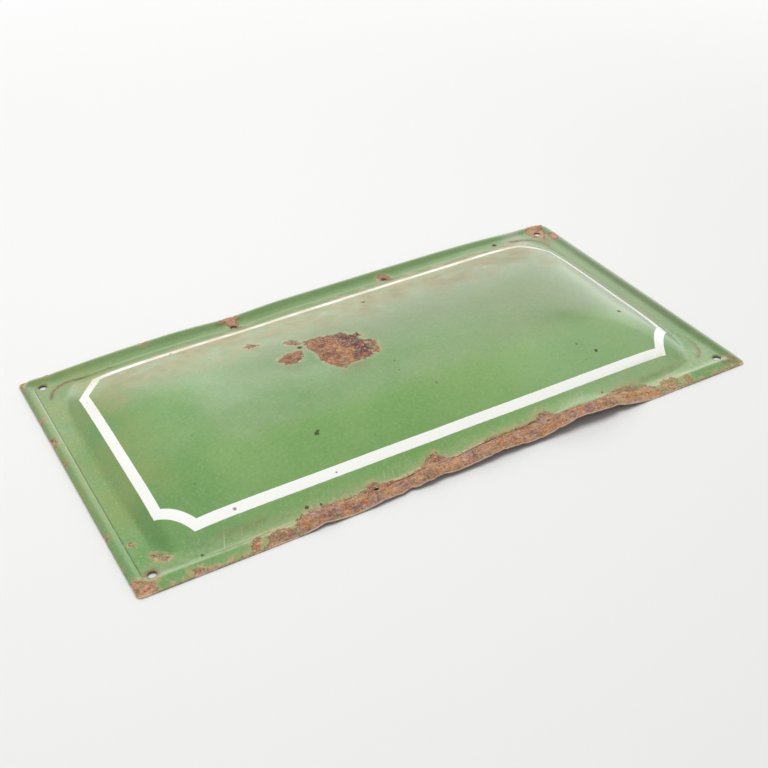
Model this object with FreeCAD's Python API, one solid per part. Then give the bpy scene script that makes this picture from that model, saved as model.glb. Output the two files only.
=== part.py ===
import FreeCAD, Part
import math
import os

# Street name sign: one plate of enamelled sheet steel, pressed into a shallow dome.
# Millimetres. The plate lies face up: X runs along the reading direction, Y to the
# top of the sign and Z out of its face. The origin is under the middle of the plate,
# on the surface that it lies on.

# The plate
PLATE_LENGTH = 600.0
PLATE_HEIGHT = 330.0
CORNER_RADIUS = 4.5
SHEET_THICKNESS = 1.5

# The dome, which starts at a crease inside the flat flange
FLANGE_WIDTH_ENDS = 26.0
FLANGE_WIDTH_LONG_SIDES = 21.0
DOME_RISE = 32.8
DOME_POWER_LENGTHWISE = 7.0
DOME_POWER_CROSSWISE = 2.3
DOME_CORNER_POWER = 2.2
DOME_CORNER_SOFTNESS = 1.2

# The raised rim that stiffens the edge: a foot, a crest and the turned-down edge
RIM_FOOT_INSET = 11.0
RIM_CREST_INSET = 4.0
RIM_CREST_RISE = 1.3
RIM_EDGE_DROP = 0.9

# Mounting holes: one in each corner and a pair along each long side
HOLE_RADIUS = 4.0
CORNER_HOLE_INSET_X = 18.5
CORNER_HOLE_INSET_Y = 18.5
MID_HOLE_SPACING = 172.0
TOP_MID_HOLE_INSET = 18.0
BOTTOM_MID_HOLE_INSET = 16.0

# The top side has sprung outwards between its corners, and is drawn down at one hole
TOP_BOW_RISE = 4.6
TOP_BOW_REACH = 145.0
TOP_BOW_HALF_LENGTH = 280.0
TOP_DIMPLE_DEPTH = 2.4
TOP_DIMPLE_RADIUS = 26.0
TOP_DIMPLE_INSET = 5.0

# The bottom edge is bent up in waves: middle of each, its half length and its rise.
# The sheet starts to rise this far in from the edge, and has risen fully after the slope.
BOTTOM_BEND_REACH = 38.0
BOTTOM_BEND_SLOPE = 28.0
BOTTOM_BENDS = [
    (-40.0, 90.0, 4.0),
    (28.0, 60.0, 5.6),
    (124.0, 70.0, 11.6),
]

# Metal that rust has eaten from the bottom edge: place along the edge and depth
EATEN_EDGE = [
    (-151.0, 0.0),
    (-146.0, 0.5),
    (-140.0, 1.3),
    (-134.0, 0.1),
    (-95.0, 0.1),
    (-86.0, 1.0),
    (-69.0, 1.4),
    (-64.0, 2.4),
    (-60.0, 3.6),
    (-57.0, 2.1),
    (-50.0, 1.5),
    (-41.0, 1.2),
    (-36.0, 1.9),
    (-30.0, 2.8),
    (-25.0, 2.5),
    (-17.0, 1.5),
    (-4.0, 2.0),
    (7.0, 1.4),
    (22.0, 1.8),
    (30.0, 2.8),
    (35.0, 2.0),
    (46.0, 2.2),
    (60.0, 1.5),
    (90.0, 1.2),
    (97.0, 0.9),
    (109.0, 1.8),
    (115.0, 1.4),
    (121.0, 0.5),
    (143.0, 0.2),
    (147.0, 1.0),
    (151.0, 1.6),
    (155.0, 1.3),
    (160.0, 0.4),
    (170.0, 0.1),
    (180.0, 0.0),
]

# The sheet's surfaces run on this far past the outline before it is cut
SURFACE_MARGIN = 3.0
# Control lines of the dome crowd together towards its foot
LINES_LENGTHWISE = 14
LINES_CROSSWISE = 6
LINE_CROWDING = 0.5

HALF_LENGTH = PLATE_LENGTH / 2
HALF_HEIGHT = PLATE_HEIGHT / 2


def dome_height(x, y):
    """Height of the dome above the flange, nothing outside its rounded foot."""
    u = abs(x) / (HALF_LENGTH - FLANGE_WIDTH_ENDS)
    v = abs(y) / (HALF_HEIGHT - FLANGE_WIDTH_LONG_SIDES)
    if u >= 1 or v >= 1:
        return 0.0
    ends = u ** (DOME_POWER_LENGTHWISE * DOME_CORNER_POWER)
    long_sides = v ** (DOME_POWER_CROSSWISE * DOME_CORNER_POWER)
    bare = DOME_RISE * (1 - (ends + long_sides) ** (1 / DOME_CORNER_POWER))
    softness = DOME_CORNER_SOFTNESS * min(1.0, 8 * (1 - u), 8 * (1 - v))
    return (bare + math.hypot(bare, softness)) / 2


def rim_height(x, y):
    """Height of the rim: up from its foot to a crest, then down past the flange."""
    inset = min(HALF_LENGTH - abs(x), HALF_HEIGHT - abs(y))
    if inset >= RIM_FOOT_INSET:
        return 0.0
    if inset >= RIM_CREST_INSET:
        return RIM_CREST_RISE * (RIM_FOOT_INSET - inset) / (RIM_FOOT_INSET - RIM_CREST_INSET)
    fall = (RIM_CREST_INSET - inset) / RIM_CREST_INSET
    return RIM_CREST_RISE - (RIM_CREST_RISE + RIM_EDGE_DROP) * fall


def top_bow(x, y):
    """How far the top side has sprung up, less the dimple at its first hole."""
    near_top = max(y - (HALF_HEIGHT - TOP_BOW_REACH), 0.0) / TOP_BOW_REACH
    between = max(1 - (abs(x) / TOP_BOW_HALF_LENGTH) ** 6, 0.0) ** 2
    dimple_x = x + MID_HOLE_SPACING / 2
    dimple_y = y - (HALF_HEIGHT - TOP_DIMPLE_INSET)
    spread = math.hypot(dimple_x, dimple_y) / TOP_DIMPLE_RADIUS
    return TOP_BOW_RISE * near_top ** 2 * between - TOP_DIMPLE_DEPTH * math.exp(-spread ** 2 / 2)


def bottom_bend(x, y):
    """How far the bottom edge is bent up here."""
    inset = y + HALF_HEIGHT
    slope = min(max((BOTTOM_BEND_REACH - inset) / BOTTOM_BEND_SLOPE, 0.0), 1.0)
    rise = 0.0
    for middle, half_length, wave_rise in BOTTOM_BENDS:
        away = min(abs(x - middle) / half_length, 1.0)
        rise = max(rise, wave_rise * (1 + math.cos(math.pi * away)) / 2)
    return rise * slope ** 2 * (3 - 2 * slope)


def face_height(x, y):
    """Height of the enamelled face above the plane of the flange."""
    return dome_height(x, y) + rim_height(x, y) + top_bow(x, y) + bottom_bend(x, y)


def face_normal(x, y):
    """Unit normal of the face, taken evenly across a crease."""
    step = 0.5
    slope_x = (face_height(x + step, y) - face_height(x - step, y)) / (2 * step)
    slope_y = (face_height(x, y + step) - face_height(x, y - step)) / (2 * step)
    return FreeCAD.Vector(-slope_x, -slope_y, 1).normalize()


def sheet_bands(half, flange_width, line_count):
    """Control lines of each band between two creases, from one side to the other."""
    foot = half - flange_width
    outer = [half + SURFACE_MARGIN, half - RIM_CREST_INSET, half - RIM_FOOT_INSET, foot]
    lines = []
    for i in range(line_count + 1):
        even = 2 * i / line_count - 1
        crowded = math.sin(even * math.pi / 2)
        lines.append(foot * ((1 - LINE_CROWDING) * even + LINE_CROWDING * crowded))
    low_side = [[-outer[i], -outer[i + 1]] for i in range(3)]
    high_side = [[outer[i + 1], outer[i]] for i in (2, 1, 0)]
    return low_side + [lines] + high_side


def control_places(lines, degree):
    """Where the control points of a smooth band lie between its lines."""
    padded = [lines[0]] * (degree - 1) + lines + [lines[-1]] * (degree - 1)
    count = len(lines) + degree - 1
    return [sum(padded[i:i + degree]) / degree for i in range(count)]


def band_degree(lines):
    """Cubic along the dome, and straight across the narrow bands around it."""
    return 3 if len(lines) > 2 else 1


def sheet_point(x, y, depth):
    """A point of the sheet: on the face, or straight in from it by a depth."""
    return FreeCAD.Vector(x, y, face_height(x, y)) - face_normal(x, y) * depth


def panel(lines_x, lines_y, depth):
    """One face of the sheet between its creases, moved inwards by a depth."""
    degree_x = band_degree(lines_x)
    degree_y = band_degree(lines_y)
    places_x = control_places(lines_x, degree_x)
    places_y = control_places(lines_y, degree_y)
    wanted = [[sheet_point(x, y, depth) for y in places_y] for x in places_x]
    surface = Part.BSplineSurface()
    surface.buildFromPolesMultsKnots(
        wanted,
        [degree_x + 1] + [1] * (len(lines_x) - 2) + [degree_x + 1],
        [degree_y + 1] + [1] * (len(lines_y) - 2) + [degree_y + 1],
        lines_x,
        lines_y,
        False,
        False,
        degree_x,
        degree_y,
    )
    # The control points move on by what the surface still misses
    poles = surface.getPoles()
    for i, x in enumerate(places_x):
        for j, y in enumerate(places_y):
            poles[i][j] = poles[i][j] + wanted[i][j] - surface.value(x, y)
    for i in range(len(places_x)):
        surface.setPoleRow(i + 1, poles[i])
    return surface


def sheet_blank():
    """The pressed sheet before its outline is cut: face, back and the sides between."""
    bands_x = sheet_bands(HALF_LENGTH, FLANGE_WIDTH_ENDS, LINES_LENGTHWISE)
    bands_y = sheet_bands(HALF_HEIGHT, FLANGE_WIDTH_LONG_SIDES, LINES_CROSSWISE)
    faces = []
    for lines_x in bands_x:
        for lines_y in bands_y:
            face = panel(lines_x, lines_y, 0.0)
            back = panel(lines_x, lines_y, SHEET_THICKNESS)
            faces += [face.toShape(), back.toShape()]
            for x in (lines_x[0], lines_x[-1]):
                if abs(x) > HALF_LENGTH:
                    faces.append(Part.makeRuledSurface(face.uIso(x).toShape(), back.uIso(x).toShape()))
            for y in (lines_y[0], lines_y[-1]):
                if abs(y) > HALF_HEIGHT:
                    faces.append(Part.makeRuledSurface(face.vIso(y).toShape(), back.vIso(y).toShape()))
    shell = Part.makeShell(faces)
    shell.sewShape()
    blank = Part.makeSolid(Part.Shell(shell.Faces))
    if blank.Volume < 0:
        blank.reverse()
    return blank


def corner_arc(side_x, side_y, start_degrees):
    """A quarter circle at one corner of the outline, run anticlockwise."""
    middle_x = side_x * (HALF_LENGTH - CORNER_RADIUS)
    middle_y = side_y * (HALF_HEIGHT - CORNER_RADIUS)
    points = []
    for degrees in (start_degrees, start_degrees + 45, start_degrees + 90):
        angle = math.radians(degrees)
        x = middle_x + CORNER_RADIUS * math.cos(angle)
        y = middle_y + CORNER_RADIUS * math.sin(angle)
        points.append(FreeCAD.Vector(x, y, 0))
    return Part.Arc(*points).toShape()


def straight(start, end):
    """A straight edge between the ends of two others."""
    return Part.makeLine(start, end)


def eaten_edge():
    """The rusted stretch of the bottom edge, as a jagged line of short straight steps."""
    points = [FreeCAD.Vector(x, -HALF_HEIGHT + depth, 0) for x, depth in EATEN_EDGE]
    return [straight(start, end) for start, end in zip(points[:-1], points[1:])]


def outline_prism():
    """A tall block with the plate's outline."""
    low_left = corner_arc(-1, -1, 180)
    low_right = corner_arc(1, -1, 270)
    top_right = corner_arc(1, 1, 0)
    top_left = corner_arc(-1, 1, 90)
    rust = eaten_edge()
    edges = [
        low_left,
        straight(low_left.valueAt(low_left.LastParameter), rust[0].firstVertex().Point),
        *rust,
        straight(rust[-1].lastVertex().Point, low_right.valueAt(low_right.FirstParameter)),
        low_right,
        straight(low_right.valueAt(low_right.LastParameter), top_right.valueAt(top_right.FirstParameter)),
        top_right,
        straight(top_right.valueAt(top_right.LastParameter), top_left.valueAt(top_left.FirstParameter)),
        top_left,
        straight(top_left.valueAt(top_left.LastParameter), low_left.valueAt(low_left.FirstParameter)),
    ]
    clearance = 4 * SHEET_THICKNESS + 2 * DOME_RISE
    flat = Part.Face(Part.Wire(edges))
    flat.translate(FreeCAD.Vector(0, 0, -clearance))
    return flat.extrude(FreeCAD.Vector(0, 0, 2 * clearance))


def hole_places():
    """Centres of the eight mounting holes."""
    places = []
    for side_x in (-1, 1):
        for side_y in (-1, 1):
            x = side_x * (HALF_LENGTH - CORNER_HOLE_INSET_X)
            places.append((x, side_y * (HALF_HEIGHT - CORNER_HOLE_INSET_Y)))
        places.append((side_x * MID_HOLE_SPACING / 2, HALF_HEIGHT - TOP_MID_HOLE_INSET))
        places.append((side_x * MID_HOLE_SPACING / 2, -HALF_HEIGHT + BOTTOM_MID_HOLE_INSET))
    return places


def sign_plate():
    """The finished plate, lying face up on its rim."""
    plate = sheet_blank().common(outline_prism())
    reach = 4 * SHEET_THICKNESS + DOME_RISE
    for x, y in hole_places():
        drill = Part.makeCylinder(HOLE_RADIUS, 2 * reach, FreeCAD.Vector(x, y, -reach))
        plate = plate.cut(drill)
    plate = plate.Solids[0]
    plate.translate(FreeCAD.Vector(0, 0, -plate.optimalBoundingBox().ZMin))
    return plate


os.makedirs("parts", exist_ok=True)
sign_plate().exportStep("parts/sign_plate.step")
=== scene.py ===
"""Dresses the enamelled street name sign: one pressed plate of sheet steel."""
import math
from functools import partial

import bpy
import numpy as np
from mathutils import Euler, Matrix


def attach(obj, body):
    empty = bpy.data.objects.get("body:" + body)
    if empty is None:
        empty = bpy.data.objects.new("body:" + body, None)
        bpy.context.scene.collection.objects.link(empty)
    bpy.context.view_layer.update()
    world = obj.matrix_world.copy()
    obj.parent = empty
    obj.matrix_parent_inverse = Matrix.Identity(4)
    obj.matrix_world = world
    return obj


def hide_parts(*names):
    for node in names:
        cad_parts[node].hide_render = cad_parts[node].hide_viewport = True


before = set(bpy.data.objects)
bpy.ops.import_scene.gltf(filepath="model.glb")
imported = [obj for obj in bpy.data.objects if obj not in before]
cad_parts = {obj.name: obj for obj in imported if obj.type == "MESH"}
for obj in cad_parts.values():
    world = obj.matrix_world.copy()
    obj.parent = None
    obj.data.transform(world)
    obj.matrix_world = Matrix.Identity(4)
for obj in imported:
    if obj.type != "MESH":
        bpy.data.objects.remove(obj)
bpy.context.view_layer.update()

MM_PER_METRE = 1000.0

# The plate's sizes in millimetres, as the solid has them
HALF_LENGTH = 300.0
HALF_HEIGHT = 165.0
CORNER_RADIUS = 4.5
RIM_CORNER_RADIUS = 14.0
THICKNESS = 1.5
FLANGE_HEIGHT = 2.75
FLANGE_ENDS = 26.0
FLANGE_SIDES = 21.0
DOME_RISE = 32.8
DOME_POWER_X = 7.4
DOME_POWER_Y = 2.3
DOME_CORNER_POWER = 2.2
DOME_SOFTNESS = 1.2
CORNER_HOLE_X = 281.5
CORNER_HOLE_Y = 146.5
SIDE_HOLE_X = 86.0
HOLE_RADIUS = 4.0

# How the sheet's cut edges bulge, and how the glaze sinks at a hole's lip
WALL_BULGE = 0.3
LIP_DEPTH = 0.45
LIP_WIDTH = 0.5

# The rim's section, inset from the edge and height above the flange: on the left side, on
# the top and right sides, and on the bottom side, where it is flattened outwards
RIM_LEFT = [
    (-1.0, -1.4),
    (0.0, -1.35),
    (1.2, 0.35),
    (2.6, 1.05),
    (4.0, 1.3),
    (6.0, 1.1),
    (8.5, 0.45),
    (10.6, 0.05),
    (12.5, 0.0),
]
RIM_TOP_AND_RIGHT = [
    (-1.0, -1.4),
    (0.0, -1.35),
    (1.2, 0.3),
    (2.6, 1.1),
    (4.5, 1.6),
    (6.0, 1.55),
    (8.0, 1.2),
    (10.0, 0.7),
    (12.0, 0.32),
    (15.0, 0.1),
    (18.0, 0.0),
]
RIM_BOTTOM = [
    (-1.0, -1.4),
    (0.0, -1.35),
    (2.0, -0.95),
    (4.0, -0.4),
    (6.0, 0.15),
    (8.0, 0.7),
    (10.0, 1.1),
    (11.5, 1.2),
    (13.0, 0.95),
    (15.0, 0.4),
    (17.0, 0.08),
    (19.0, 0.0),
]

# Holes: place of each centre, and its radius, less where rust has crusted it
HOLES = [
    (-CORNER_HOLE_X, -CORNER_HOLE_Y, HOLE_RADIUS),
    (CORNER_HOLE_X, -CORNER_HOLE_Y, HOLE_RADIUS),
    (-CORNER_HOLE_X, CORNER_HOLE_Y, HOLE_RADIUS),
    (CORNER_HOLE_X, CORNER_HOLE_Y, HOLE_RADIUS),
    (-SIDE_HOLE_X, 147.0, 3.6),
    (SIDE_HOLE_X, 147.0, 3.6),
    (-SIDE_HOLE_X, -149.0, 2.6),
    (SIDE_HOLE_X, -149.0, 1.8),
]

# How the sprung top side stands up, and the dimple at its left hole
TOP_BOW_RISE = 4.6
TOP_BOW_REACH = 145.0
TOP_BOW_HALF_LENGTH = 280.0
DIMPLE_DEPTH = 2.4
DIMPLE_RADIUS = 26.0
DIMPLE_X = -SIDE_HOLE_X
DIMPLE_Y = 160.0

# The sheet's slight unevenness all over
UNEVENNESS = 0.12

# Bottom edge: how far in from it the bend starts and over how much of that it grows, how far
# it is bent up at places along it, and how much of it rust has eaten there
LIFT_FROM = 36.0
LIFT_OVER = 27.0
BOTTOM_LIFT = [
    (-300, 0.0),
    (-168, 0.0),
    (-139, 2.6),
    (-112, 0.2),
    (-88, 2.4),
    (-60, 1.8),
    (-40, 4.3),
    (-12, 3.0),
    (22, 5.2),
    (42, 5.0),
    (60, 3.4),
    (72, 4.0),
    (96, 8.0),
    (120, 10.4),
    (138, 9.2),
    (154, 6.6),
    (172, 3.0),
    (190, 0.2),
    (205, 0.0),
    (300, 0.0),
]
EATEN_EDGE = [
    (-300, 0.0),
    (-151, 0.0),
    (-146, 0.5),
    (-140, 1.3),
    (-134, 0.1),
    (-95, 0.1),
    (-86, 1.0),
    (-69, 1.4),
    (-64, 2.4),
    (-60, 3.6),
    (-57, 2.1),
    (-50, 1.5),
    (-41, 1.2),
    (-36, 1.9),
    (-30, 2.8),
    (-25, 2.5),
    (-17, 1.5),
    (-4, 2.0),
    (7, 1.4),
    (22, 1.8),
    (30, 2.8),
    (35, 2.0),
    (46, 2.2),
    (60, 1.5),
    (90, 1.2),
    (97, 0.9),
    (109, 1.8),
    (115, 1.4),
    (121, 0.5),
    (143, 0.2),
    (147, 1.0),
    (151, 1.6),
    (155, 1.3),
    (160, 0.4),
    (170, 0.1),
    (180, 0.0),
    (300, 0.0),
]

# The crease along the bottom side, which the bent metal folds along
BOTTOM_CREASE = [
    (-300, -152.5),
    (-225, -151.5),
    (-180, -150.5),
    (-80, -149.6),
    (-40, -149),
    (0, -147.6),
    (20, -146),
    (45, -143.6),
    (64, -143),
    (84, -142),
    (300, -142),
]

# Rust patches, each an outline traced round it
RUST_PATCHES = [
    # the large one in the middle
    [(-56, 42), (-45, 41), (-39, 40), (-27, 37), (-19, 35), (-17, 29), (-13, 25), (-12, 14),
     (-9, 5), (-9, 0), (-11, -7), (-15, -14), (-23, -14), (-32, -14), (-40, -16), (-45, -19),
     (-50, -12), (-54, -4), (-57, 1), (-57, 12), (-56, 17), (-59, 27), (-58, 34)],
    [(-9, 14), (-4, 10), (0, 4), (-2, 0), (-6, 3), (-8, 7)],
    [(-7, 0), (-4, -4), (-4, -8), (-8, -12), (-11, -9), (-9, -4)],
    [(-14, 25), (-9, 28), (-7, 23), (-11, 20)],
    # beside it
    [(-91, 25), (-85, 26), (-79, 31), (-75, 26), (-69, 31), (-67, 27), (-69, 20), (-75, 13),
     (-82, 11), (-88, 15), (-91, 21)],
    [(-72, 53), (-66, 51), (-61, 45), (-62, 39), (-68, 42), (-72, 47)],
    # a star-shaped chip
    [(-106, 69), (-103, 67), (-101, 73), (-99, 67), (-94, 64), (-100, 63), (-104, 62)],
    # the bottom edge, between its crease and the eaten metal
    [(-162, -170), (-161, -152), (-156, -147), (-140, -145), (-120, -146), (-100, -147),
     (-92, -144), (-86, -142), (-79, -146), (-62, -148), (-42, -147), (-35, -142), (-28, -137),
     (-22, -138), (-15, -146), (0, -147), (18, -146), (34, -143), (62, -143), (79, -142),
     (85, -137), (92, -139), (98, -147), (116, -150), (138, -151), (150, -146), (160, -143),
     (176, -142), (192, -145), (200, -151), (203, -170)],
    [(-192, -170), (-188, -157), (-180, -152), (-172, -153), (-166, -158), (-160, -170)],
    [(-206, -170), (-202, -157), (-197, -151), (-193, -153), (-197, -161), (-200, -170)],
    [(-256, -170), (-252, -160), (-247, -159), (-243, -170)],
    [(203, -170), (206, -158), (211, -151), (217, -150), (215, -158), (218, -152), (225, -150),
     (228, -152), (222, -160), (220, -170)],
    [(232, -170), (234, -158), (237, -154), (238, -159), (236, -170)],
    # corners
    [(-305, -170), (-305, -149), (-297, -149), (-289, -151), (-284, -157), (-285, -162),
     (-282, -170)],
    [(-305, 170), (-305, 150), (-299, 152), (-298, 160), (-293, 164), (-286, 165), (-284, 170)],
    [(287, -153), (291, -153), (294, -157), (292, -160), (288, -158)],
    [(297, -162), (302, -159), (303, -168), (297, -168)],
    [(271, 152), (273, 158), (279, 161), (283, 170), (305, 170), (305, 160), (294, 157),
     (290, 151), (289, 143), (285, 136), (281, 132), (277, 136), (273, 143)],
    [(290, 137), (297, 138), (296, 127), (291, 124), (289, 130)],
    # the top edge
    [(-276, 170), (-275, 162), (-270, 161), (-267, 170)],
    [(-181, 170), (-180, 161), (-176, 159), (-171, 162), (-170, 170)],
    [(-96, 170), (-94, 160), (-91, 155), (-91, 149), (-86, 143), (-81, 148), (-80, 156),
     (-78, 161), (-79, 170)],
    [(80, 149), (84, 154), (90, 152), (92, 145), (88, 139), (82, 141)],
    # scars at the dome's foot
    [(-274, -126), (-271, -127), (-264, -136), (-266, -138), (-270, -134), (-273, -130)],
    [(-285, -106), (-283, -106), (-282, -108), (-284, -109)],
    # small ones on the left edge and the face
    [(-301, 61), (-297, 60), (-296, 54), (-298, 50), (-301, 51)],
    [(-301, 95), (-298, 94), (-297, 89), (-301, 86)],
    [(-301, -84), (-298, -86), (-298, -92), (-301, -93)],
    [(-301, 25), (-298, 24), (-298, 19), (-301, 18)],
]

# How far from its patches rust is still told, and how deep it pits the sheet
RUST_REACH = 12.0
PIT_DEPTH = 0.3

# Dirt and rust worked into the creases: an arc's points, half width and strength
DIRT_LINES = [
    ([(-280, 123), (-277, 131), (-272, 137), (-265, 141), (-257, 142), (-246, 140), (-236, 137),
      (-215, 136)], 1.5, 1.0),
    ([(279, -117), (278, -124), (274, -131), (266, -138)], 1.2, 1.1),
    ([(272, -80), (276.5, -95), (279, -104), (279.5, -112), (279, -118)], 0.8, 0.6),
    ([(-225, -151), (-200, -151.5), (-184, -150)], 1.0, 0.7),
    ([(-182, -137), (-200, -138), (-220, -136)], 2.6, 0.35),
    ([(236, -139), (215, -140), (196, -140)], 2.0, 0.32),
    ([(276, 118), (274, 128), (268, 136), (258, 142), (245, 145)], 2.6, 0.8),
    ([(275, 118), (276, 60), (276, 0), (275, -60), (272, -80)], 2.2, 0.4),
    ([(-102, 158), (-95, 155), (-84, 157), (-76, 156)], 1.4, 1.0),
]

# Rust that has run down from a hole or patch: where from, length, half width and strength
RUST_RUNS = [
    (-86, 145, 30, 5, 0.55),
    (85, 145, 26, 6, 0.6),
    (281, 134, 22, 5, 0.5),
    (-84, 14, 20, 7, 0.25),
    (-35, -14, 26, 14, 0.3),
    (-100, 64, 12, 4, 0.3),
    (-281, -142, 14, 5, 0.5),
]

# Holes with a ring of stain round them: place, the ring's half width and strength
STAINED_HOLES = [
    (-CORNER_HOLE_X, -CORNER_HOLE_Y, 2.2, 1.0),
    (CORNER_HOLE_X, -CORNER_HOLE_Y, 1.2, 0.5),
    (-CORNER_HOLE_X, CORNER_HOLE_Y, 0.9, 0.5),
]
STAIN_RING_RADIUS = 4.6

# Small dark chips: place and radius
CHIPS = [
    (-65, 34, 2.2),
    (225, 147, 2.4),
    (-106, -82, 2.0),
    (-104, -80, 1.3),
    (-1, -31, 0.8),
    (-4, -45, 0.7),
    (-109, -122, 0.8),
    (-146, -141, 1.6),
    (-134, -143, 1.0),
    (232, -60, 1.7),
    (-240, -147, 1.2),
    (175, -99, 1.5),
    (-10, 24, 1.0),
    (30, 87, 1.9),
    (152, -140, 0.9),
]

# White frame line: outer half sizes, width at the ends and along the sides, how much lower
# and narrower it runs at the top and further out at the right, and its corners
FRAME_HALF_X = 260.5
FRAME_HALF_Y = 126.0
FRAME_WIDTH_X = 8.2
FRAME_WIDTH_Y = 9.6
FRAME_LOWER_TOP = 5.4
FRAME_NARROWER_TOP = 0.8
FRAME_FURTHER_RIGHT = 3.6
NOTCH_WIDTH = 9.2
NOTCH_RADIUS = 70.0
NOTCH_BEYOND_X = 40.6
NOTCH_BEYOND_Y = 28.0

# How many sines make up uneven ripples
RIPPLE_SINES = 48

# Grid step, in millimetres, along the dome and on the flange around it, and the block of
# cells round each hole: half its length, where it starts and ends, and its rings' shares
STEP_DOME = 2.45
STEP_FLANGE = 1.35
HOLE_BLOCK = 8.0
HOLE_BLOCK_LOW = 138.0
HOLE_BLOCK_HIGH = 156.5
RING_SHARES = (0.3, 0.55, 0.75, 0.88, 0.95, 1.0)

# Grains of the finishes, each a noise: the width of its blotches in millimetres, how many
# finer ones lie within them, and how strong those are. Specks in a glaze and flakes of rust
# are mostly under a millimetre, too fine to show, so the finest here are drawn 1.4 to 3 wide.
GRAINS = {
    "clouds": (83.33, 2.0, 0.55),
    "mottle": (16.67, 3.0, 0.55),
    "speckle": (3.03, 5.0, 0.7),
    "dust_blotch": (28.57, 5.0, 0.6),
    "dust_tint": (11.11, 4.0, 0.55),
    "grime_tint": (16.67, 5.0, 0.65),
    "line_wander": (4.0, 2.0, 0.55),
    "stain": (2.5, 5.0, 0.65),
    "stain_tint": (3.333, 4.0, 0.55),
    "halo_edge": (6.25, 6.0, 0.7),
    "crack_breaks": (33.33, 3.0, 0.55),
    "worn_breaks": (12.5, 4.0, 0.55),
    "flange_dust": (7.692, 5.0, 0.65),
    "strip_breaks": (8.333, 5.0, 0.65),
    "fold_breaks": (20.0, 3.0, 0.55),
    "scuff_breaks": (50.0, 2.0, 0.55),
    "rust_edge": (5.0, 5.0, 0.7),
    "rust_edge_fine": (1.818, 4.0, 0.75),
    "crust": (6.25, 8.0, 0.75),
    "flakes": (2.0, 5.0, 0.75),
    "dark_breaks": (5.0, 4.0, 0.55),
    "pink_rust": (14.29, 3.0, 0.55),
    "chip_edge": (1.429, 4.0, 0.7),
    "gloss": (2.0, 4.0, 0.55),
    "waves": (14.29, 2.0, 0.55),
}

# More of them, which start from a place further off so that they don't follow the others
GRAIN_SHIFT = (371.0, 154.0, 93.0)
SHIFTED_GRAINS = {
    "halo_tint": (5.0, 5.0, 0.65),
    "flecks": (2.5, 5.0, 0.7),
    "coarse_rust": (13.33, 3.0, 0.6),
    "green_spots": (2.857, 4.0, 0.7),
    "orange_rust": (9.091, 5.0, 0.68),
    "grey_rust": (8.333, 4.0, 0.6),
}

# Other widths in millimetres: between specks of rust, across a scuff and along it, along a
# streak of rust and across it, and of the back's clouds and crust
SPECK_SPACING = 18.18
SCUFF_WIDTH = 1.667
SCUFF_LENGTH = 22.22
STREAK_LENGTH = 11.11
STREAK_WIDTH = 2.778
BACK_CLOUDS = 33.33
BACK_CRUST = 4.0

# Short names for kinds of node that have a setting of their own, or a longer name
SHORT_KINDS = {
    "absolute": ("Math", {"operation": "ABSOLUTE"}),
    "plus": ("Math", {"operation": "ADD"}),
    "minus": ("Math", {"operation": "SUBTRACT"}),
    "times": ("Math", {"operation": "MULTIPLY"}),
    "times_plus": ("Math", {"operation": "MULTIPLY_ADD"}),
    "power": ("Math", {"operation": "POWER"}),
    "root": ("Math", {"operation": "SQRT"}),
    "smaller": ("Math", {"operation": "MINIMUM"}),
    "larger": ("Math", {"operation": "MAXIMUM"}),
    "scaled": ("VectorMath", {"operation": "SCALE"}),
    "moved": ("VectorMath", {"operation": "ADD"}),
    "apart": ("VectorMath", {"operation": "DISTANCE"}),
    "length": ("VectorMath", {"operation": "LENGTH"}),
    # rises from 0 at the first number to 1 at the second as 3t^2 - 2t^3
    "between": ("MapRange", {"interpolation_type": "SMOOTHSTEP"}),
    "mix": ("Mix", {"data_type": "RGBA"}),
    "noise": ("TexNoise", {}),
    "ramp": ("ValToRGB", {}),
}

# The room's light on the plate, where the floor starts and ends to turn white, its size and
# how far it lies below, in metres, and the camera: its place in metres, its lens, and by how
# many degrees it looks down, turns and rolls
ROOM_LIGHT = 0.475
FLOOR_SIZE = 14.0
FLOOR_BELOW = 0.0002
FLOOR_FADE_FROM = 0.45
FLOOR_FADE_TO = 1.6
CAMERA_PLACE = (-0.44385, -0.84591, 0.65668)
CAMERA_LENS = 57.7
CAMERA_DOWN = 34.94
CAMERA_TURN = -27.88
CAMERA_ROLL = -2.30


def curve_through(points, at):
    """A smooth curve through points: between two of them it is the cubic
    a(1+2t)(1-t)^2 + b t^2(3-2t) + h t(1-t)((1-t)p - t q), with p and q the slopes there. A
    slope is the harmonic mean of those on its two sides, and 0 where they have two signs."""
    x, y = np.array(points, dtype=float).T
    rise = np.diff(y) / np.diff(x)
    product = rise[:-1] * rise[1:]
    total = np.where(product > 0, rise[:-1] + rise[1:], 1)
    slope = np.concatenate([[0], np.where(product > 0, 2 * product / total, 0), [0]])
    at = np.clip(at, x[0], x[-1])
    i = np.clip(np.searchsorted(x, at) - 1, 0, len(x) - 2)
    h = x[i + 1] - x[i]
    t = (at - x[i]) / h
    ends = y[i] * (1 + 2 * t) * (1 - t) ** 2 + y[i + 1] * t ** 2 * (3 - 2 * t)
    return ends + h * t * (1 - t) * ((1 - t) * slope[i] - t * slope[i + 1])


def smooth(low, high, value):
    """0 below low, 1 above high, and 3t^2 - 2t^3 between them."""
    t = np.clip((value - low) / (high - low), 0, 1)
    return t * t * (3 - 2 * t)


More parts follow.
